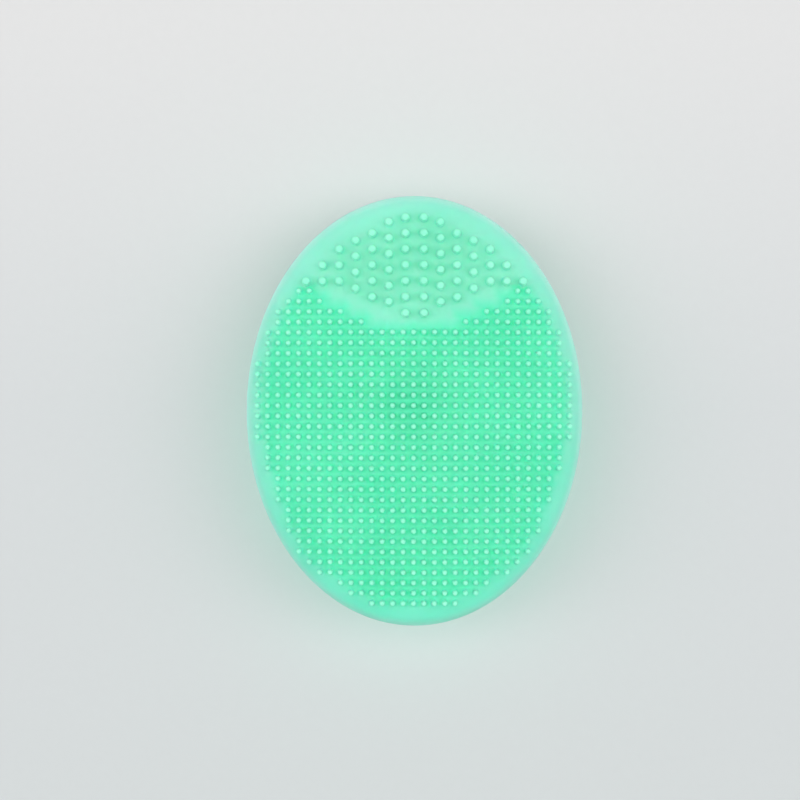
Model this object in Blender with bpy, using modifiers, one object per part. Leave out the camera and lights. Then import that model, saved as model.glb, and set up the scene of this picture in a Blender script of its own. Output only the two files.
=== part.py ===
"""Facial cleansing brush: an oval silicone scrubbing pad on a short soft neck with a suction cup.

The real brush is one soft moulding. Here each zone that does a different job is its own solid, so
that the zones that move against each other can be joined: the cup's lip stays on the surface that
it holds, its crown can be pressed down, and the neck rocks the pad fore and aft and side to side.

Metres, +Z up. The origin is on the plane of the cup's lip, below the middle of the pad. +Y points
to the end of the pad that carries the coarse nubs.
"""

import math

import bmesh
import bpy

MM = 0.001

# Driving dimensions: the pad's outline and the brush's overall height.
PAD_LENGTH = 65.0 * MM
PAD_WIDTH = 50.8 * MM
HEIGHT = 28.0 * MM

# The pad. Radii are measured along Y; the pad is then narrowed along X to its oval.
OVAL = PAD_WIDTH / PAD_LENGTH
FINE_NUB_HEIGHT = 1.8 * MM
COARSE_NUB_HEIGHT = 2.4 * MM
COARSE_NUB_RADIUS = 0.6 * MM
CROWN_Z = HEIGHT - FINE_NUB_HEIGHT
DOME_DROP = 4.6 * MM
DOME_POWER = 2.3
EDGE_START = 30.0 * MM
SHELL_EDGE = 30.3 * MM
SKIRT_Z = 16.0 * MM
SKIRT_THICKNESS = 1.9 * MM
NUB_LAYER = 0.8 * MM
SHELL_THICKNESS = 1.6 * MM
GAP = 0.3 * MM

# The coarse nubs stand inside the part of the pad that a circle centred beyond its end covers.
LENS_CENTRE_Y = 35.97 * MM
LENS_RADIUS = 24.1 * MM
COARSE_COLUMNS = (7, 6, 5, 4, 3, 2, 1)
COARSE_FIRST_X = 1.38 * MM
COARSE_PITCH_X = 2.48 * MM
COARSE_PITCH_Y = 2.40 * MM
COARSE_TOP_Y = 29.1 * MM
COARSE_TOP_ROWS = (0, 0.3, 1, 1.45, 2, 3, 4)

# The neck and the suction cup, both round, set a little towards the coarse end.
NECK_Y = 1.0 * MM
WAIST_RADIUS = 5.0 * MM
NECK_FLARE = 1.3 * MM
CROWN_TOP_Z = 8.0 * MM
LOWER_FLEX = (8.3 * MM, 10.8 * MM)
WAIST = (11.1 * MM, 13.1 * MM)
UPPER_FLEX = (13.4 * MM, 15.9 * MM)
HUB_BOTTOM_Z = 16.2 * MM
ROCK_X_Z = sum(LOWER_FLEX) / 2
ROCK_Y_Z = sum(UPPER_FLEX) / 2

CUP_RADIUS = 18.0 * MM
CUP_LIP_Z = 0.9 * MM
CUP_SHOULDER_Z = 6.6 * MM
CUP_SHOULDER_RADIUS = 6.2 * MM
CUP_FLARE_POWER = 1.6
CUP_HOLLOW_DEPTH = 3.6 * MM
CUP_HOLLOW_RADIUS = 15.6 * MM
CUP_LIP_INNER = 14.5 * MM
CUP_CROWN_RADIUS = 6.6 * MM

PAD_STEPS = 56
NECK_STEPS = 32
CUP_STEPS = 48
POST_SIDES = 8

MINT = (0.145, 0.785, 0.47)
PALE_MINT = (0.28, 0.86, 0.60)
DEEP_MINT = (0.09, 0.70, 0.38)


# Scene and materials


def clear_scene():
    for thing in list(bpy.data.objects):
        bpy.data.objects.remove(thing)


def new_collection(name):
    made = bpy.data.collections.new(name)
    bpy.context.scene.collection.children.link(made)
    return made


def silicone(name, colour):
    material = bpy.data.materials.new(name)
    material.use_nodes = True
    shader = material.node_tree.nodes["Principled BSDF"]
    shader.inputs["Base Color"].default_value = (*colour, 1.0)
    shader.inputs["Roughness"].default_value = 0.5
    shader.inputs["Metallic"].default_value = 0.0
    return material


def empty(name, place, parent=None):
    made = bpy.data.objects.new(name, None)
    made.empty_display_size = 5 * MM
    PARTS.objects.link(made)
    made.location = place
    made.parent = parent
    if parent is not None:
        made.location = [a - b for a, b in zip(place, PIVOTS[parent.name])]
    PIVOTS[name] = place
    return made


# Shapes


def turned(name, profile, steps, colour, pivot, centre_y=0.0, oval=1.0, closed=False):
    """A solid turned about Z from (radius, height) points that run down its outer side."""
    mesh = bpy.data.meshes.new(name)
    count = len(profile)
    edges = [(k, k + 1) for k in range(count - 1)]
    if closed:
        edges.append((count - 1, 0))
    mesh.from_pydata([(r, 0.0, z) for r, z in profile], edges, [])
    made = bpy.data.objects.new(name, mesh)
    PARTS.objects.link(made)
    screw = made.modifiers.new("turn", "SCREW")
    screw.steps = steps
    screw.render_steps = steps
    screw.use_merge_vertices = True
    screw.merge_threshold = 0.00001
    screw.use_smooth_shade = True
    mesh.materials.append(silicone(name, colour))
    made.scale = (oval, 1.0, 1.0)
    place(made, (0.0, centre_y, 0.0), pivot)
    return made


def place(made, where, pivot):
    """Puts a part at a place in the world and hangs it on its joint's empty."""
    made.parent = pivot
    made.location = [a - b for a, b in zip(where, PIVOTS[pivot.name])]


def cylinder_cutter(name, radius, centre_y):
    mesh = bpy.data.meshes.new(name)
    shape = bmesh.new()
    bmesh.ops.create_cone(
        shape, cap_ends=True, segments=96, radius1=radius, radius2=radius, depth=2 * HEIGHT
    )
    shape.to_mesh(mesh)
    shape.free()
    made = bpy.data.objects.new(name, mesh)
    CUTTERS.objects.link(made)
    made.location = (0.0, centre_y, HEIGHT)
    made.hide_render = True
    made.display_type = "WIRE"
    return made


def cut(made, cutter, operation):
    boolean = made.modifiers.new(operation.lower(), "BOOLEAN")
    boolean.operation = operation
    boolean.object = cutter
    boolean.solver = "EXACT"


# The pad's surfaces


def dome_z(radius):
    """Height of the pad's face, between its nubs, at a radius along Y."""
    return CROWN_Z - DOME_DROP * (radius / EDGE_START) ** DOME_POWER


def edge_arc():
    """Centre, radius and starting angle of the rounding between the pad's face and its skirt."""
    slope = math.atan(DOME_DROP * DOME_POWER / EDGE_START)
    radius = (PAD_LENGTH / 2 - EDGE_START) / (1 - math.sin(slope))
    centre = (EDGE_START - radius * math.sin(slope), dome_z(EDGE_START) - radius * math.cos(slope))
    return centre, radius, slope


def rounding(points=6):
    """Points down the rounded edge, from just outside the shell's edge to the skirt's side."""
    (centre_r, centre_z), radius, _ = edge_arc()
    first = math.asin((SHELL_EDGE + GAP - centre_r) / radius)
    turns = [first + (math.pi / 2 - first) * k / (points - 1) for k in range(points)]
    return [(centre_r + radius * math.sin(a), centre_z + radius * math.cos(a)) for a in turns]


def dome_layer(top, bottom, edge, points=9):
    """Profile of a skin that follows the dome, from top to bottom below the face's own height."""
    radii = [edge * k / (points - 1) for k in range(points)]
    upper = [(r, dome_z(r) - top) for r in radii]
    lower = [(r, dome_z(r) - bottom) for r in reversed(radii)]
    return upper + lower


def skirt_profile():
    """The pad's rounded edge and skirt, as a closed section."""
    outer_r = PAD_LENGTH / 2
    inner_r = outer_r - SKIRT_THICKNESS
    lip = 0.6 * MM
    shell_bottom = dome_z(SHELL_EDGE) - NUB_LAYER - GAP - SHELL_THICKNESS
    inner = [
        (outer_r, SKIRT_Z + lip),
        (outer_r - lip, SKIRT_Z),
        (inner_r + lip, SKIRT_Z),
        (inner_r, SKIRT_Z + lip),
        (SHELL_EDGE + GAP, shell_bottom - 0.6 * MM),
    ]
    return rounding() + inner


def coarse_nub_places():
    """Centres of the coarse nubs: mirrored columns, shorter and set lower the further out."""
    places = []
    for column, count in enumerate(COARSE_COLUMNS):
        x = COARSE_FIRST_X + column * COARSE_PITCH_X
        top = COARSE_TOP_Y - COARSE_TOP_ROWS[column] * COARSE_PITCH_Y
        for row in range(count):
            y = top - row * COARSE_PITCH_Y
            places += [(x, y), (-x, y)]
    return places


def nub_posts(name):
    """All coarse nubs as one cutter mesh of upright posts with rounded tips, rooted in the patch."""
    shape = bmesh.new()
    bevel = 0.25 * MM
    for x, y in coarse_nub_places():
        face_z = dome_z(math.hypot(x / OVAL, y))
        levels = (
            (COARSE_NUB_RADIUS, face_z - NUB_LAYER / 2),
            (COARSE_NUB_RADIUS, face_z + COARSE_NUB_HEIGHT - bevel),
            (COARSE_NUB_RADIUS - bevel, face_z + COARSE_NUB_HEIGHT),
        )
        rings = []
        for radius, z in levels:
            ring = []
            for k in range(POST_SIDES):
                turn = 2 * math.pi * k / POST_SIDES
                ring.append(shape.verts.new((x + radius * math.cos(turn), y + radius * math.sin(turn), z)))
            rings.append(ring)
        for low, high in zip(rings, rings[1:]):
            for k in range(POST_SIDES):
                after = (k + 1) % POST_SIDES
                shape.faces.new((low[k], low[after], high[after], high[k]))
        shape.faces.new(rings[-1])
        shape.faces.new(list(reversed(rings[0])))
    mesh = bpy.data.meshes.new(name)
    shape.to_mesh(mesh)
    shape.free()
    made = bpy.data.objects.new(name, mesh)
    CUTTERS.objects.link(made)
    made.hide_render = True
    made.display_type = "WIRE"
    return made


# The neck's and the cup's surfaces


def neck_radius(z):
    """The neck is narrowest at its waist and flares towards the cup and towards the pad."""
    middle = sum(WAIST) / 2
    reach = middle - CROWN_TOP_Z
    return WAIST_RADIUS + NECK_FLARE * min(1.0, abs(z - middle) / reach) ** 2


def neck_piece(low, high, points=4):
    heights = [high - (high - low) * k / (points - 1) for k in range(points)]
    return [(0.0, high)] + [(neck_radius(z), z) for z in heights] + [(0.0, low)]


def cup_outer_z(radius):
    share = (radius - CUP_SHOULDER_RADIUS) / (CUP_RADIUS - CUP_SHOULDER_RADIUS)
    return CUP_LIP_Z + (CUP_SHOULDER_Z - CUP_LIP_Z) * (1 - share) ** CUP_FLARE_POWER


def cup_inner_z(radius):
    return CUP_HOLLOW_DEPTH * max(0.0, 1 - (radius / CUP_HOLLOW_RADIUS) ** 2)


def spread(low, high, points):
    return [low + (high - low) * k / (points - 1) for k in range(points)]


def lip_profile():
    rounding_r = 0.4 * MM
    upper = [(r, cup_outer_z(r)) for r in spread(CUP_LIP_INNER, CUP_RADIUS - rounding_r, 5)]
    edge = [(CUP_RADIUS, rounding_r), (CUP_RADIUS - rounding_r, 0.0), (CUP_HOLLOW_RADIUS, 0.0)]
    return upper + edge + [(CUP_LIP_INNER, cup_inner_z(CUP_LIP_INNER))]


def bell_profile():
    radii = spread(CUP_CROWN_RADIUS + GAP, CUP_LIP_INNER - GAP, 6)
    return [(r, cup_outer_z(r)) for r in radii] + [(r, cup_inner_z(r)) for r in reversed(radii)]


def crown_profile():
    top = [(0.0, CROWN_TOP_Z), (neck_radius(CROWN_TOP_Z), CROWN_TOP_Z)]
    side = [(CUP_CROWN_RADIUS, cup_outer_z(CUP_CROWN_RADIUS))]
    under = [(r, cup_inner_z(r)) for r in reversed(spread(0.0, CUP_CROWN_RADIUS, 4))]
    return top + side + under


def hub_profile():
    """The column that joins the neck to the inside of the dome, spreading where it meets it."""
    foot = 7.6 * MM
    top = dome_z(foot / OVAL) - NUB_LAYER - SHELL_THICKNESS - 2 * GAP
    low = HUB_BOTTOM_Z
    side = [(foot, top - 0.5 * MM), (6.7 * MM, top - 1.4 * MM), (neck_radius(low), low + 2.5 * MM)]
    return [(0.0, top), (foot, top)] + side + [(neck_radius(low), low), (0.0, low)]


# The object

clear_scene()
PARTS = new_collection("facial_cleansing_brush")
CUTTERS = new_collection("cutters")
PIVOTS = {}

cup_base = empty("cup_base", (0.0, NECK_Y, 0.0))
press_slide = empty("cup_press", (0.0, NECK_Y, CUP_HOLLOW_DEPTH), cup_base)
rock_x = empty("neck_rock_x", (0.0, NECK_Y, ROCK_X_Z), press_slide)
rock_y = empty("neck_rock_y", (0.0, NECK_Y, ROCK_Y_Z), rock_x)

# The suction cup: lip on the surface, thin bell, thick crown.
turned("cup_lip", lip_profile(), CUP_STEPS, MINT, cup_base, NECK_Y, closed=True)
turned("cup_bell", bell_profile(), CUP_STEPS, MINT, cup_base, NECK_Y, closed=True)
turned("cup_crown", crown_profile(), NECK_STEPS, MINT, press_slide, NECK_Y)

# The neck: a stiff waist between two zones that bend.
turned("neck_lower_flex", neck_piece(*LOWER_FLEX), NECK_STEPS, DEEP_MINT, press_slide, NECK_Y)
turned("neck_waist", neck_piece(*WAIST), NECK_STEPS, DEEP_MINT, rock_x, NECK_Y)
turned("neck_upper_flex", neck_piece(*UPPER_FLEX), NECK_STEPS, DEEP_MINT, rock_y, NECK_Y)

# The pad: hub, domed shell, rounded skirt and the two fields of nubs.
turned("pad_hub", hub_profile(), NECK_STEPS, DEEP_MINT, rock_y, NECK_Y)
shell_top = NUB_LAYER + GAP
shell_section = dome_layer(shell_top, shell_top + SHELL_THICKNESS, SHELL_EDGE)
turned("pad_shell", shell_section, PAD_STEPS, MINT, rock_y, oval=OVAL)
turned("pad_skirt", skirt_profile(), PAD_STEPS, PALE_MINT, rock_y, oval=OVAL, closed=True)

fine_section = dome_layer(-FINE_NUB_HEIGHT, NUB_LAYER, SHELL_EDGE)
fine_field = turned("fine_nub_field", fine_section, PAD_STEPS, MINT, rock_y, oval=OVAL)
cut(fine_field, cylinder_cutter("lens_outside", LENS_RADIUS + GAP / 2, LENS_CENTRE_Y), "DIFFERENCE")

patch_section = dome_layer(0.0, NUB_LAYER, SHELL_EDGE)
coarse_patch = turned("coarse_nub_patch", patch_section, PAD_STEPS, PALE_MINT, rock_y, oval=OVAL)
cut(coarse_patch, cylinder_cutter("lens_inside", LENS_RADIUS - GAP / 2, LENS_CENTRE_Y), "INTERSECT")
cut(coarse_patch, nub_posts("coarse_nubs"), "UNION")
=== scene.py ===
"""Looks for the facial cleansing brush: one soft mint silicone moulding, seen from straight above.

The moulding is made as three closed meshes, one for each joint that bends it:
  suction_cup      the cup and its crown, which bends as the crown is pressed down
  neck             the lower half of the neck, which bends fore and aft
  scrubbing_pad    the upper half of the neck and the whole pad with its nubs, which bends side to side
"""

import math

import bpy
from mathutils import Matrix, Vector
from mathutils.geometry import delaunay_2d_cdt


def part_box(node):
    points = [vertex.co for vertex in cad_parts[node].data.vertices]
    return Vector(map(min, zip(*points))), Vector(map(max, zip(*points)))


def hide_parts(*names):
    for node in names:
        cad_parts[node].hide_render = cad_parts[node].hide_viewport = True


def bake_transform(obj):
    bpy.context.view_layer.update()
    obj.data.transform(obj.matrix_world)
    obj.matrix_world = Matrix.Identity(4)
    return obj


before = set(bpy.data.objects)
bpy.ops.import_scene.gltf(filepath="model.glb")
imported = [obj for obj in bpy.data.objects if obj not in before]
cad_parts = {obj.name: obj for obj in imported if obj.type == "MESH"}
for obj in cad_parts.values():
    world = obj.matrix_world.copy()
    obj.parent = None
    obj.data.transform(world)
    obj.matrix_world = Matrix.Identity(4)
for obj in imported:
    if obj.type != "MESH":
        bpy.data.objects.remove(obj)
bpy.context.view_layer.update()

MM = 0.001

# Sizes from the frame. Radii on the pad are measured along Y, and OVAL narrows them along X.
skirt_low, skirt_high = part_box("pad_skirt")
lip_low, lip_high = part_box("cup_lip")
PAD_RADIUS = skirt_high.y
OVAL = skirt_high.x / skirt_high.y
SKIRT_Z = skirt_low.z
CUP_RADIUS = lip_high.x
NECK_Y = (lip_low.y + lip_high.y) / 2
CUP_TOP_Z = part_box("cup_crown")[1].z
WAIST_Z = sum(corner.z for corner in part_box("neck_waist")) / 2

# The pad's face, its rounded edge and its hollow underside.
FINE_HEIGHT = 1.8 * MM
CROWN_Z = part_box("fine_nub_field")[1].z - FINE_HEIGHT
DOME_DROP = 4.6 * MM
DOME_POWER = 2.3
EDGE_START = PAD_RADIUS - 2.5 * MM
FACE_EDGE = PAD_RADIUS - 0.6 * MM
WALL = 2.7 * MM
SKIRT_WALL = 1.9 * MM
HOLLOW_ROUNDING = 1.2 * MM
HUB_FOOT = 9.8 * MM
HUB_RISE = 4.6 * MM

# The fine nubs: a square grid, with the number of nubs to either side of the middle in each row.
# The grid sits a little towards -X of the pad's middle.
NUB_SHIFT = -0.18 * MM
FINE_PITCH = 1.56 * MM
FINE_MIDDLE_ROW = 11
FINE_FIRST_Y = 0.80 * MM + FINE_MIDDLE_ROW * FINE_PITCH
FINE_ROWS = (11, 12, 13, 13) + 3 * (14,) + 8 * (15,) + 3 * (14,) + 3 * (13,)
FINE_ROWS += 3 * (12,) + (11, 11, 10, 9, 7, 6, 4)
LENS_CENTRE_Y = 35.85 * MM
LENS_RADIUS = 23.5 * MM

# The coarse nubs: mirrored columns, with the number in each and how many rows down each starts.
COARSE_COLUMNS = (7, 6, 5, 4, 3, 2, 1)
COARSE_TOP_ROWS = (0, 0.3, 1, 1.45, 2, 3, 4)
COARSE_FIRST_X = 1.38 * MM
COARSE_PITCH_X = 2.48 * MM
COARSE_PITCH_Y = 2.40 * MM
COARSE_TOP_Y = 29.0 * MM

# A nub's tip as shares of its radius and height, and its foot as distances out from its side and
# up from the face. FOOT_SPREAD is where the foot meets the face.
NUB_TIP = ((0.5, 0.998), (0.84, 0.975), (0.97, 0.92), (1.0, 0.83))
NUB_FOOT = ((0.03 * MM, 0.40 * MM), (0.10 * MM, 0.12 * MM))
FOOT_SPREAD = 0.25 * MM
FINE_RADIUS = 0.38 * MM
FINE_SIDES = 12
COARSE_RADIUS = 0.60 * MM
COARSE_HEIGHT = 2.4 * MM
COARSE_SIDES = 16

# The face's points between the nubs: a grid that stops short of the rounded edge, and rings that
# close up towards the face's outer ring. Near a fine nub the face counts as crowded and gets painted
# shade.
GRID_MARGIN = 1.2 * MM
EDGE_INSETS = (0.3 * MM, 0.6 * MM, 1.0 * MM, 1.5 * MM, 2.1 * MM, 2.8 * MM)
FOOT_CLEARANCE = 0.1 * MM
CROWDED_REACH = 0.8 * FINE_PITCH
SAME_POINT = 1e-9

# The neck and the cup.
WAIST_RADIUS = 5.0 * MM
NECK_FLARE = 1.3 * MM
CUP_LIP_Z = 0.9 * MM
CUP_LIP_ROUNDING = 0.4 * MM
CUP_SHOULDER_Z = 6.6 * MM
CUP_SHOULDER_RADIUS = 6.2 * MM
CUP_SHOULDER_STEP = 0.1 * MM
CUP_FLARE_POWER = 1.6
CUP_HOLLOW_DEPTH = 3.6 * MM
CUP_HOLLOW_RADIUS = 15.6 * MM
CUP_HOLLOW_MIDDLE = 0.4 * MM

# How finely the shapes are stepped: round the pad and the neck, then along their sections.
PAD_STEPS = 144
NECK_STEPS = 96
RIM_POINTS = 9
CORNER_POINTS = 6
CEILING_STEPS = 16
HUB_STEPS = 10
UPPER_NECK_STEPS = 14
LOWER_NECK_POINTS = 16
CUP_COLUMN_POINTS = 4
CUP_POINTS = 24
SHARP_ANGLE = math.radians(62)

# How thin and open the silicone is, from 0 in the solid neck to 1 in a nub's tip, with painted light and
# shade added. It sets the colour, which is deepest where painted shade stands for light lost inside the
# hub or between crowded nubs.
THIN_SOLID = 0.0
# Painted shade over the hub, where the neck blocks the light from below.
PAINTED_HUB_SHADE = 0.15
# Painted shade between crowded fine nubs.
PAINTED_CROWDED_SHADE = 0.35
THIN_WALL = 0.60
# Painted light along the rim, where light shines through it.
PAINTED_RIM_LIGHT = 0.80
# Painted highlight on the nubs' tips, with painted light through them.
PAINTED_TIP_HIGHLIGHT = 1.0
HUB_SHADE_RADIUS = 7.0 * MM
MARGIN_FADE = 2.0 * MM
RIM_FADE = 1.4 * MM
# Painted shade on the rim towards -Y, away from the window.
PAINTED_RIM_SHADE = 0.20
NUB_FADE_RATE = 1.6
NUB_FADE_DELAY = 0.45

# The silicone's look: its colours by thinness and by painted light and shade, soft clouds in them, and a
# fine grain in its roughness and bump. A tip scatters less light inside than the thicker skin does.
COLOURS = (
    (THIN_SOLID, (0.12, 0.78, 0.52, 1)),
    (PAINTED_HUB_SHADE, (0.10, 0.77, 0.49, 1)),
    (PAINTED_CROWDED_SHADE, (0.160, 0.83, 0.58, 1)),
    (THIN_WALL, (0.285, 0.795, 0.615, 1)),
    (PAINTED_RIM_LIGHT, (0.43, 0.91, 0.74, 1)),
    (PAINTED_TIP_HIGHLIGHT, (0.27, 0.95, 0.62, 1)),
)
SILICONE_IOR = 1.41
SCATTER_SCALE = 5.0 * MM
SCATTER_RADII = (0.45, 1.0, 0.8)
TIP_SCATTER_LOSS = 0.6
CLOUD_SIZE = 9 * MM
CLOUD_DETAIL = 3
CLOUD_VALUES = (0.975, 1.025)
CLOUD_SATURATIONS = (1.03, 0.97)
GRAIN_SIZE = 0.35 * MM
GRAIN_DETAIL = 4
SILICONE_ROUGHNESS = (0.50, 0.62)
SILICONE_BUMP = 0.25
BUMP_DEPTH = 0.02 * MM
NOISE_RANGE = (0.3, 0.7)

# The floor: a broad pale table, with painted shade that greys it towards -Y within its reach of the
# middle.
FLOOR_HALF_WIDTH = 3.0
FLOOR_REACH = 60 * MM
FLOOR_COLOURS_WITH_PAINTED_SHADE = (
    (0.0, (0.611, 0.632, 0.638, 1)),
    (0.5, (0.637, 0.647, 0.659, 1)),
    (1.0, (0.712, 0.702, 0.707, 1)),
)
FLOOR_GRAIN_SIZE = 1.5 * MM
FLOOR_GRAIN_DETAIL = 3
FLOOR_VALUES = (0.994, 1.006)
FLOOR_ROUGHNESS = (0.66, 0.74)
FLOOR_BUMP = 0.1

# The studio's light: the radiance of each part of the sky. The overhead panel leans towards +Y and
# is narrower along Y than along X. Each pair of limits is where a part starts to show and where it
# is full: a direction's height for the horizon and the upper sky, its Y for the window, and the
# distance from the panel's middle for the overhead panel.
SKY_COLOUR = (0.985, 1.0, 0.995, 1)
SKY = 0.28
UPPER_SKY_LIMITS = (0.12, 0.45)
HORIZON = 0.80
HORIZON_LIMITS = (0.50, 0.10)
OVERHEAD = 3.4
OVERHEAD_LIMITS = (1.15, 0.45)
OVERHEAD_LEAN = 0.04
OVERHEAD_NARROWING = 3.0
WINDOW = 0.15
WINDOW_LIMITS = (0.30, 0.75)

# The light that the soft rim lets through to the floor, from small round lights along a level ellipse
# that stays under the pad at every angle: its half widths, middle and height, and the lights' number,
# radius, radiance and colour.
GLOW_HALF_X = 19 * MM
GLOW_HALF_Y = 22 * MM
GLOW_Y = -4 * MM
GLOW_Z = 9 * MM
GLOW_LIGHTS = 14
GLOW_RADIUS = 3 * MM
GLOW = 3.2
GLOW_COLOUR = (0.45, 1.0, 0.80)

# The camera: its place over the pad, and the width of its view at the height of the pad's outline.
CAMERA_X = -2.19 * MM
CAMERA_Y = 1.63 * MM
CAMERA_DISTANCE = 500 * MM
OUTLINE_Z = 18.5 * MM
VIEW_WIDTH = 120.94 * MM
SENSOR_WIDTH = 36


# The pad's, the neck's and the cup's surfaces


def smooth(share):
    """Rises smoothly from 0 to 1 as a share does, and stays level outside that."""
    share = min(1.0, max(0.0, share))
    return share * share * (3 - 2 * share)


def mixed(low, high, share):
    return low + (high - low) * share


def dome_z(x, y):
    """Height of the pad's domed face."""
    return CROWN_Z - DOME_DROP * (math.hypot(x / OVAL, y) / EDGE_START) ** DOME_POWER


def edge_arc():
    """Centre, radius and starting angle of the rounding between the pad's face and its skirt."""
    slope = math.atan(DOME_DROP * DOME_POWER / EDGE_START)
    radius = (PAD_RADIUS - EDGE_START) / (1 - math.sin(slope))
    centre = (EDGE_START - radius * math.sin(slope), dome_z(0, EDGE_START) - radius * math.cos(slope))
    return centre, radius, slope


EDGE_CENTRE, EDGE_RADIUS, EDGE_SLOPE = edge_arc()
CEILING_RADIUS = PAD_RADIUS - SKIRT_WALL - HOLLOW_ROUNDING * (1 - math.sin(EDGE_SLOPE))


def face_z(x, y):
    """Height of the pad's face between its nubs: the dome, then the rounding at its edge."""
    reach = math.hypot(x / OVAL, y)
    if reach < EDGE_START:
        return dome_z(x, y)
    return EDGE_CENTRE[1] + math.sqrt(EDGE_RADIUS**2 - (reach - EDGE_CENTRE[0]) ** 2)


def neck_radius(z):
    """The neck is narrowest at its waist and flares towards the cup and towards the pad."""
    reach = WAIST_Z - CUP_TOP_Z
    return WAIST_RADIUS + NECK_FLARE * min(1.0, abs(z - WAIST_Z) / reach) ** 2


def cup_outer_z(radius):
    share = (radius - CUP_SHOULDER_RADIUS) / (CUP_RADIUS - CUP_SHOULDER_RADIUS)
    return CUP_LIP_Z + (CUP_SHOULDER_Z - CUP_LIP_Z) * (1 - share) ** CUP_FLARE_POWER


def cup_inner_z(radius):
    return CUP_HOLLOW_DEPTH * max(0.0, 1 - (radius / CUP_HOLLOW_RADIUS) ** 2)


def arc(centre, radius, first, last, points):
    """Points on an arc in a section, at angles measured from straight up towards the outside."""
    turns = [first + (last - first) * k / (points - 1) for k in range(points)]
    return [(centre[0] + radius * math.sin(a), centre[1] + radius * math.cos(a)) for a in turns]


def circle(x, y, radius, count, oval=1.0):
    """Points of a level ring, counter-clockwise seen from above."""
    turns = [2 * math.pi * k / count for k in range(count)]
    return [(x + oval * radius * math.cos(t), y + radius * math.sin(t)) for t in turns]


def spread_out(low, high, count):
    return [low + (high - low) * k / (count - 1) for k in range(count)]


# How thin the silicone is from place to place, and where light and shade are painted on it


def rim_painted_light_and_shade(y, value=PAINTED_RIM_LIGHT):
    """A value for the rim, by default its painted light, with painted shade that deepens it towards -Y,
    away from the window.
    """
    return value - PAINTED_RIM_SHADE * max(0.0, -y / PAD_RADIUS)


def face_thinness_and_painted_light(x, y, crowded):
    """The face's thinness, with painted shade between fine nubs and over the hub, and painted light along
    its rim.
    """
    reach = math.hypot(x / OVAL, y)
    value = PAINTED_CROWDED_SHADE if crowded else THIN_WALL
    value = mixed(value, rim_painted_light_and_shade(y, THIN_WALL), smooth((reach - EDGE_START) / MARGIN_FADE + 1))
    value = mixed(value, rim_painted_light_and_shade(y), smooth((reach - PAD_RADIUS) / RIM_FADE + 1))
    return mixed(PAINTED_HUB_SHADE, value, smooth(math.hypot(x, y - NECK_Y) / HUB_SHADE_RADIUS))


def nub_thinness_and_painted_highlight(rise, base):
    """A nub goes from its face's value to the painted highlight of a tip, as its share of the nub's
    height rises.
    """
    return base + (PAINTED_TIP_HIGHLIGHT - base) * smooth(rise * NUB_FADE_RATE - NUB_FADE_DELAY)


def stem_thinness(z):
    """The neck is solid, and the cup thins from its top to its lip."""
    return mixed(THIN_SOLID, THIN_WALL, smooth((CUP_TOP_Z - z) / (CUP_TOP_Z - CUP_LIP_Z)))


# Where the nubs stand


def fine_nub_places():
    """Centres of the fine nubs: a grid, without those in the circle that the coarse nubs fill."""
    places = []
    for row, half in enumerate(FINE_ROWS):
        y = FINE_FIRST_Y - row * FINE_PITCH
        for column in range(-half, half + 1):
            x = column * FINE_PITCH
            if math.hypot(x, y - LENS_CENTRE_Y) > LENS_RADIUS:
                places.append((NUB_SHIFT + x, y))
    return places


def coarse_nub_places():
    """Centres of the coarse nubs: columns that start lower and get shorter away from the middle."""
    places = []
    for column, count in enumerate(COARSE_COLUMNS):
        x = COARSE_FIRST_X + column * COARSE_PITCH_X
        top = COARSE_TOP_Y - COARSE_TOP_ROWS[column] * COARSE_PITCH_Y
        for row in range(count):
            y = top - row * COARSE_PITCH_Y
            places += [(x, y), (-x, y)]
    return places


def all_nubs():
    """Each nub's place, radius, height and number of sides."""
    nubs = [(place, FINE_RADIUS, FINE_HEIGHT, FINE_SIDES) for place in fine_nub_places()]
    return nubs + [(place, COARSE_RADIUS, COARSE_HEIGHT, COARSE_SIDES) for place in coarse_nub_places()]


def between_nubs(nubs):
    """Points of a grid, and of rings along the edge, that stay clear of the nubs' feet."""
    places = []
    count = int(EDGE_START / FINE_PITCH) + 1
    for row in range(-count, count):
        y = FINE_FIRST_Y + (row + 0.5 - FINE_MIDDLE_ROW) * FINE_PITCH
        for column in range(-count, count):
            x = NUB_SHIFT + (column + 0.5) * FINE_PITCH
            if math.hypot(x / OVAL, y) < EDGE_START - GRID_MARGIN:
                places.append((x, y))
    for inset in EDGE_INSETS:
        places += circle(0, 0, FACE_EDGE - inset, PAD_STEPS, OVAL)
    feet = [(place, radius + FOOT_SPREAD + FOOT_CLEARANCE) for place, radius, _, _ in nubs]
    return [point for point in places if all(math.dist(point, place) > clear for place, clear in feet)]


# Meshes


class Shape:
    """Points and faces of one closed mesh, gathered ring by ring down its outside and underneath."""

    def __init__(self):
        self.points = []
        self.faces = []
        self.thinness_and_painted_light = []

    def add(self, point, thinness_and_painted_light):
        self.points.append(point)
        self.thinness_and_painted_light.append(thinness_and_painted_light)
        return len(self.points) - 1

    def ring(self, points, thinness_and_painted_light):
        return [self.add(point, thinness_and_painted_light) for point in points]

    def bridge(self, upper, lower):
        """Joins two rings, and returns the lower one."""
        for k in range(len(upper)):
            after = (k + 1) % len(upper)
            self.faces.append((upper[k], lower[k], lower[after], upper[after]))
        return lower

    def cap(self, ring, tip, facing_up):
        for k in range(len(ring)):
            pair = (ring[k], ring[(k + 1) % len(ring)])
            self.faces.append((tip, *pair) if facing_up else (tip, *reversed(pair)))

    def build(self, name):
        mesh = bpy.data.meshes.new(name)
        mesh.from_pydata(self.points, [], self.faces)
        mesh.attributes.new("thinness_and_painted_light", "FLOAT", "POINT").data.foreach_set("value", self.thinness_and_painted_light)
        mesh.shade_smooth()
        mesh.set_sharp_from_angle(angle=SHARP_ANGLE)
        made = bpy.data.objects.new(name, mesh)
        bpy.context.scene.collection.objects.link(made)
        return made


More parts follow.
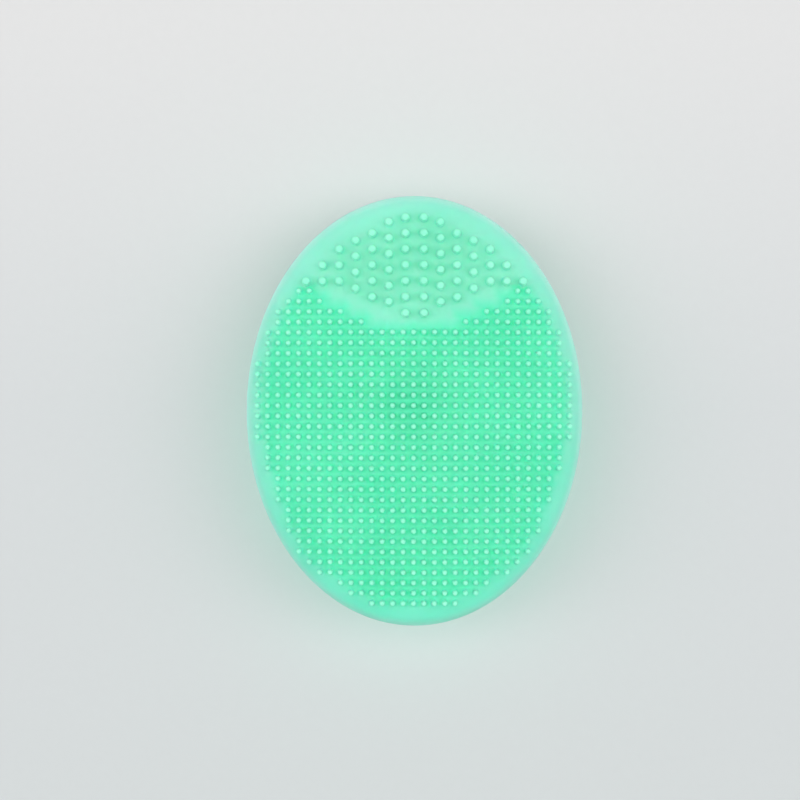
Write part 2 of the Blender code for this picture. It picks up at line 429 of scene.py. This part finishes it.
def add_nub(shape, place, foot, radius, height):
    """One upright nub on its foot ring, which lies on the pad's face."""
    x, y = place
    low = face_z(x, y)
    base = face_thinness_and_painted_light(x, y, radius == FINE_RADIUS)
    above = None
    for share, rise in NUB_TIP:
        points = [(*p, low + rise * height) for p in circle(x, y, share * radius, len(foot))]
        ring = shape.ring(points, nub_thinness_and_painted_highlight(rise, base))
        if above is None:
            shape.cap(ring, shape.add((x, y, low + height), PAINTED_TIP_HIGHLIGHT), True)
        else:
            shape.bridge(above, ring)
        above = ring
    for out, rise in NUB_FOOT:
        points = [(px, py, face_z(px, py) + rise) for px, py in circle(x, y, radius + out, len(foot))]
        above = shape.bridge(above, shape.ring(points, nub_thinness_and_painted_highlight(rise / height, base)))
    shape.bridge(above, foot)


def closed_border(first, count):
    """The sides of a closed ring of numbered points."""
    return [(first + k, first + (k + 1) % count) for k in range(count)]


def fill_face(shape, flat, numbers, borders, feet):
    """Triangles between the face's points, apart from those inside a nub's foot."""
    owners = {}
    for k, foot in enumerate(feet):
        owners.update(dict.fromkeys(foot, k))
    _, _, triangles, origins, _, _ = delaunay_2d_cdt(flat, borders, [], 0, SAME_POINT, True)
    for triangle in triangles:
        corners = [numbers[origins[v][0]] for v in triangle]
        feet_touched = {owners.get(v) for v in corners}
        if len(feet_touched) == 1 and None not in feet_touched:
            continue
        a, b, c = (shape.points[v] for v in corners)
        turn = (b[0] - a[0]) * (c[1] - a[1]) - (b[1] - a[1]) * (c[0] - a[0])
        shape.faces.append(tuple(corners) if turn > 0 else tuple(reversed(corners)))


def pad_face(shape, edge):
    """The pad's face inside its edge ring, with every nub growing out of it."""
    nubs = all_nubs()
    flat = [Vector(shape.points[k][:2]) for k in edge]
    numbers = list(edge)
    borders = closed_border(0, len(edge))
    feet = []
    for place, radius, _, sides in nubs:
        borders += closed_border(len(flat), sides)
        points = circle(*place, radius + FOOT_SPREAD, sides)
        crowded = radius == FINE_RADIUS
        foot = [shape.add((x, y, face_z(x, y)), face_thinness_and_painted_light(x, y, crowded)) for x, y in points]
        flat += [Vector(point) for point in points]
        numbers += foot
        feet.append(foot)
    fine = [place for place, radius, _, _ in nubs if radius == FINE_RADIUS]
    for point in between_nubs(nubs):
        crowded = any(math.dist(point, place) < CROWDED_REACH for place in fine)
        flat.append(Vector(point))
        numbers.append(shape.add((*point, face_z(*point)), face_thinness_and_painted_light(*point, crowded)))
    fill_face(shape, flat, numbers, borders, feet)
    for (place, radius, height, _), foot in zip(nubs, feet):
        add_nub(shape, place, foot, radius, height)


def pad_ring(shape, radius, z):
    """A level ring of the pad's rim or skirt."""
    # Painted light along the rim, with painted shade towards -Y.
    value = mixed(THIN_WALL, PAINTED_RIM_LIGHT, smooth((radius - PAD_RADIUS) / RIM_FADE + 1))
    places = circle(0, 0, radius, PAD_STEPS, OVAL)
    return [shape.add((x, y, z), rim_painted_light_and_shade(y, value)) for x, y in places]


def skirt_section():
    """Radii and heights round the skirt's lip and through the rounding in the hollow's corner."""
    lip = SKIRT_WALL / 2
    section = arc((PAD_RADIUS - lip, SKIRT_Z + lip), lip, math.pi / 2, 1.5 * math.pi, RIM_POINTS)
    corner_r = PAD_RADIUS - SKIRT_WALL - HOLLOW_ROUNDING
    corner_z = dome_z(0, CEILING_RADIUS) - WALL - HOLLOW_ROUNDING * math.cos(EDGE_SLOPE)
    return section + arc((corner_r, corner_z), HOLLOW_ROUNDING, math.pi / 2, EDGE_SLOPE, CORNER_POINTS)


def ceiling_steps():
    """Radii and drops below the hollow's ceiling, from its rim in to the hub and down its foot."""
    steps = []
    for k in range(1, CEILING_STEPS + 1):
        steps.append((CEILING_RADIUS + (HUB_FOOT - CEILING_RADIUS) * k / CEILING_STEPS, 0.0))
    hub = neck_radius(CROWN_Z)
    for k in range(1, HUB_STEPS + 1):
        turn = math.pi / 2 * k / HUB_STEPS
        steps.append((HUB_FOOT + (hub - HUB_FOOT) * math.sin(turn), HUB_RISE * (1 - math.cos(turn))))
    return steps


def ceiling_ring(shape, radius, drop):
    """A ring of the hollow's ceiling, which is oval at its rim and round at the hub."""
    points = []
    share = smooth((radius - HUB_FOOT) / (CEILING_RADIUS - HUB_FOOT))
    round_places = circle(0, NECK_Y, radius, PAD_STEPS)
    for (cx, cy), (ex, ey) in zip(round_places, circle(0, 0, radius, PAD_STEPS, OVAL)):
        x = mixed(cx, ex, share)
        y = mixed(cy, ey, share)
        points.append((x, y, dome_z(x, y) - WALL - drop))
    return shape.ring(points, THIN_WALL)


def scrubbing_pad():
    """The upper neck, the hub, the hollow domed pad and all its nubs, as one closed mesh."""
    shape = Shape()
    first = math.asin((FACE_EDGE - EDGE_CENTRE[0]) / EDGE_RADIUS)
    edge = arc(EDGE_CENTRE, EDGE_RADIUS, first, math.pi / 2, RIM_POINTS)
    last = pad_ring(shape, *edge[0])
    pad_face(shape, last)
    for radius, z in edge[1:] + skirt_section():
        last = shape.bridge(last, pad_ring(shape, radius, z))
    for radius, drop in ceiling_steps():
        last = shape.bridge(last, ceiling_ring(shape, radius, drop))
    top = dome_z(0, HUB_FOOT) - WALL - HUB_RISE
    for k in range(1, UPPER_NECK_STEPS + 1):
        z = top + (WAIST_Z - top) * k / UPPER_NECK_STEPS
        points = [(x, y, z) for x, y in circle(0, NECK_Y, neck_radius(z), PAD_STEPS)]
        last = shape.bridge(last, shape.ring(points, THIN_SOLID))
    shape.cap(last, shape.add((0, NECK_Y, WAIST_Z), THIN_SOLID), False)
    return shape.build("scrubbing_pad")


def turned(name, section):
    """A closed mesh turned about the neck's line, from its top centre down its outside."""
    shape = Shape()
    last = None
    for radius, z in section:
        ring = shape.ring([(x, y, z) for x, y in circle(0, NECK_Y, radius, NECK_STEPS)], stem_thinness(z))
        if last is None:
            shape.cap(ring, shape.add((0, NECK_Y, z), stem_thinness(z)), True)
        else:
            shape.bridge(last, ring)
        last = ring
    foot = section[-1][1]
    shape.cap(last, shape.add((0, NECK_Y, foot), stem_thinness(foot)), False)
    return shape.build(name)


def neck():
    """The neck's lower half, from the waist down to the cup."""
    heights = spread_out(WAIST_Z, CUP_TOP_Z, LOWER_NECK_POINTS)
    return turned("neck", [(neck_radius(z), z) for z in heights])


def suction_cup():
    """The cup's column, its flared outside, its rounded lip and its hollow."""
    top_radius = neck_radius(CUP_TOP_Z)
    flare_end = CUP_RADIUS - CUP_LIP_ROUNDING
    section = [(top_radius, z) for z in spread_out(CUP_TOP_Z, CUP_SHOULDER_Z, CUP_COLUMN_POINTS)]
    for radius in spread_out(top_radius + CUP_SHOULDER_STEP, flare_end, CUP_POINTS):
        section.append((radius, cup_outer_z(radius)))
    lip_centre = (flare_end, CUP_LIP_ROUNDING)
    section += arc(lip_centre, CUP_LIP_ROUNDING, math.pi / 4, math.pi, CORNER_POINTS)
    for radius in spread_out(CUP_HOLLOW_RADIUS, CUP_HOLLOW_MIDDLE, CUP_POINTS):
        section.append((radius, cup_inner_z(radius)))
    return turned("suction_cup", section)


# Materials


def node(tree, kind, **values):
    """A shader node with its settings, and its input sockets by name."""
    made = tree.nodes.new(kind)
    sockets = values.pop("sockets", {})
    for key, value in values.items():
        setattr(made, key, value)
    for key, value in sockets.items():
        made.inputs[key].default_value = value
    return made


def maths(tree, operation, *values):
    """A maths node's output. Each value is a number or another node's output."""
    made = node(tree, "ShaderNodeMath", operation=operation)
    for socket, value in zip(made.inputs, values):
        if isinstance(value, bpy.types.NodeSocket):
            tree.links.new(value, socket)
        else:
            socket.default_value = value
    return made.outputs[0]


def fade(tree, value, start, end):
    """Rises smoothly from 0 to 1 as a value goes from start to end."""
    sockets = {"From Min": start, "From Max": end}
    made = node(tree, "ShaderNodeMapRange", interpolation_type="SMOOTHSTEP", sockets=sockets)
    tree.links.new(value, made.inputs["Value"])
    return made.outputs[0]


def noise(tree, where, size, detail):
    """Soft noise from 0 to 1 whose largest blotches are about as wide as the size."""
    made = node(tree, "ShaderNodeTexNoise", sockets={"Scale": 1 / size, "Detail": detail})
    tree.links.new(where, made.inputs["Vector"])
    return made.outputs["Fac"]


def between(tree, value, low, high):
    """Takes a noise's usual range to the range from low to high."""
    sockets = {"From Min": NOISE_RANGE[0], "From Max": NOISE_RANGE[1], "To Min": low, "To Max": high}
    made = node(tree, "ShaderNodeMapRange", sockets=sockets)
    tree.links.new(value, made.inputs["Value"])
    return made.outputs[0]


def ramp_colour(tree, value, colours):
    """The colour at a value, from pairs of a place from 0 to 1 and its colour."""
    made = node(tree, "ShaderNodeValToRGB")
    made.color_ramp.elements[0].color = colours[0][1]
    made.color_ramp.elements[1].color = colours[-1][1]
    for place, colour in colours[1:-1]:
        made.color_ramp.elements.new(place).color = colour
    tree.links.new(value, made.inputs["Fac"])
    return made.outputs["Color"]


def tinted_colour(tree, colour, **changes):
    """A colour whose value or saturation is multiplied by another node's output."""
    made = node(tree, "ShaderNodeHueSaturation")
    tree.links.new(colour, made.inputs["Color"])
    for name, change in changes.items():
        tree.links.new(change, made.inputs[name])
    return made.outputs["Color"]


def add_grain(tree, grain, roughness, strength):
    """A fine grain in a material's roughness and bump."""
    shader = tree.nodes["Principled BSDF"]
    tree.links.new(between(tree, grain, *roughness), shader.inputs["Roughness"])
    bump = node(tree, "ShaderNodeBump", sockets={"Strength": strength, "Distance": BUMP_DEPTH})
    tree.links.new(grain, bump.inputs["Height"])
    tree.links.new(bump.outputs["Normal"], shader.inputs["Normal"])


def silicone():
    """Frosted mint silicone: deep where it is thick, pale where it is thin, with painted light and shade.
    """
    material = bpy.data.materials.new("mint_silicone")
    material.use_nodes = True
    tree = material.node_tree
    shader = tree.nodes["Principled BSDF"]
    shader.subsurface_method = "RANDOM_WALK"
    shader.inputs["IOR"].default_value = SILICONE_IOR
    shader.inputs["Subsurface Radius"].default_value = SCATTER_RADII
    shader.inputs["Subsurface Scale"].default_value = SCATTER_SCALE
    thinness_and_painted_light = node(tree, "ShaderNodeAttribute", attribute_name="thinness_and_painted_light").outputs["Fac"]
    where = node(tree, "ShaderNodeTexCoord").outputs["Object"]
    clouds = noise(tree, where, CLOUD_SIZE, CLOUD_DETAIL)
    value = between(tree, clouds, *CLOUD_VALUES)
    saturation = between(tree, clouds, *CLOUD_SATURATIONS)
    # The ramp gives the colour by thickness, and also paints shade over the hub and between nubs, light
    # along the rim and highlights on the tips.
    colour = tinted_colour(tree, ramp_colour(tree, thinness_and_painted_light, COLOURS), Value=value, Saturation=saturation)
    tree.links.new(colour, shader.inputs["Base Color"])
    add_grain(tree, noise(tree, where, GRAIN_SIZE, GRAIN_DETAIL), SILICONE_ROUGHNESS, SILICONE_BUMP)
    skin_end = fade(tree, thinness_and_painted_light, THIN_SOLID, PAINTED_CROWDED_SHADE)
    tip_end = maths(tree, "MULTIPLY", fade(tree, thinness_and_painted_light, PAINTED_RIM_LIGHT, PAINTED_TIP_HIGHLIGHT), TIP_SCATTER_LOSS)
    tree.links.new(maths(tree, "SUBTRACT", skin_end, tip_end), shader.inputs["Subsurface Weight"])
    return material


def floor_material():
    """A pale matt table with a faint grain, and painted shade that greys it towards -Y."""
    material = bpy.data.materials.new("pale_table")
    material.use_nodes = True
    tree = material.node_tree
    where = node(tree, "ShaderNodeTexCoord").outputs["Object"]
    split = node(tree, "ShaderNodeSeparateXYZ")
    tree.links.new(where, split.inputs[0])
    place = maths(tree, "ADD", maths(tree, "DIVIDE", split.outputs["Y"], 2 * FLOOR_REACH), 0.5)
    grain = noise(tree, where, FLOOR_GRAIN_SIZE, FLOOR_GRAIN_DETAIL)
    value = between(tree, grain, *FLOOR_VALUES)
    # The ramp paints shade on the floor, darker towards -Y.
    colour = tinted_colour(tree, ramp_colour(tree, place, FLOOR_COLOURS_WITH_PAINTED_SHADE), Value=value)
    tree.links.new(colour, tree.nodes["Principled BSDF"].inputs["Base Color"])
    add_grain(tree, grain, FLOOR_ROUGHNESS, FLOOR_BUMP)
    return material


# The scene around the brush


def add_floor():
    mesh = bpy.data.meshes.new("floor")
    size = FLOOR_HALF_WIDTH
    corners = [(-size, -size, 0), (size, -size, 0), (size, size, 0), (-size, size, 0)]
    mesh.from_pydata(corners, [], [(0, 1, 2, 3)])
    mesh.materials.append(floor_material())
    made = bpy.data.objects.new("floor", mesh)
    bpy.context.scene.collection.objects.link(made)
    return made


def add_world():
    """Soft studio light from all round: a broad overhead panel, a window past +Y, a pale horizon."""
    world = bpy.data.worlds.new("studio")
    world.use_nodes = True
    tree = world.node_tree
    split = node(tree, "ShaderNodeSeparateXYZ")
    tree.links.new(node(tree, "ShaderNodeTexCoord").outputs["Generated"], split.inputs[0])
    up = split.outputs["Z"]
    above = fade(tree, up, *UPPER_SKY_LIMITS)
    across = maths(tree, "POWER", split.outputs["X"], 2)
    lean = maths(tree, "SUBTRACT", split.outputs["Y"], OVERHEAD_LEAN)
    along = maths(tree, "POWER", maths(tree, "MULTIPLY", lean, OVERHEAD_NARROWING), 2)
    reach = maths(tree, "SQRT", maths(tree, "ADD", across, along))
    overhead = maths(tree, "MULTIPLY", fade(tree, reach, *OVERHEAD_LIMITS), above)
    window = maths(tree, "MULTIPLY", fade(tree, split.outputs["Y"], *WINDOW_LIMITS), above)
    horizon = fade(tree, up, *HORIZON_LIMITS)
    total = SKY
    for light, strength in ((overhead, OVERHEAD), (window, WINDOW), (horizon, HORIZON - SKY)):
        total = maths(tree, "ADD", maths(tree, "MULTIPLY", light, strength), total)
    background = tree.nodes["Background"]
    background.inputs["Color"].default_value = SKY_COLOUR
    tree.links.new(total, background.inputs["Strength"])
    bpy.context.scene.world = world


def add_glow(floor):
    """Green lights under the pad that only the floor takes, for what real silicone lets through."""
    receivers = bpy.data.collections.new("glow_receivers")
    receivers.objects.link(floor)
    area = math.pi * GLOW_RADIUS**2
    for k in range(GLOW_LIGHTS):
        turn = 2 * math.pi * k / GLOW_LIGHTS
        data = bpy.data.lights.new("glow", "AREA")
        data.shape = "DISK"
        data.size = 2 * GLOW_RADIUS
        data.color = GLOW_COLOUR
        data.energy = GLOW * math.pi * area
        made = bpy.data.objects.new("glow", data)
        made.location = (GLOW_HALF_X * math.cos(turn), GLOW_Y + GLOW_HALF_Y * math.sin(turn), GLOW_Z)
        made.light_linking.receiver_collection = receivers
        bpy.context.scene.collection.objects.link(made)


def add_camera():
    """Straight above the pad, which sits a little right and low in the view."""
    data = bpy.data.cameras.new("camera")
    data.sensor_width = SENSOR_WIDTH
    data.lens = SENSOR_WIDTH * CAMERA_DISTANCE / VIEW_WIDTH
    made = bpy.data.objects.new("camera", data)
    made.location = (CAMERA_X, CAMERA_Y, OUTLINE_Z + CAMERA_DISTANCE)
    bpy.context.scene.collection.objects.link(made)
    bpy.context.scene.camera = made


add_camera()
add_world()
add_glow(add_floor())
bpy.context.scene.view_settings.view_transform = "Standard"

skin = silicone()
cup_piece = suction_cup()
neck_piece = neck()
pad_piece = scrubbing_pad()
for piece in (cup_piece, neck_piece, pad_piece):
    piece.data.materials.append(skin)

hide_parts("cup_lip", "cup_bell", "cup_crown")
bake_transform(cup_piece)
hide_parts("neck_lower_flex", "neck_waist")
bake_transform(neck_piece)
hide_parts("neck_upper_flex", "pad_hub", "pad_shell", "pad_skirt")
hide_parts("fine_nub_field", "coarse_nub_patch")
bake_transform(pad_piece)
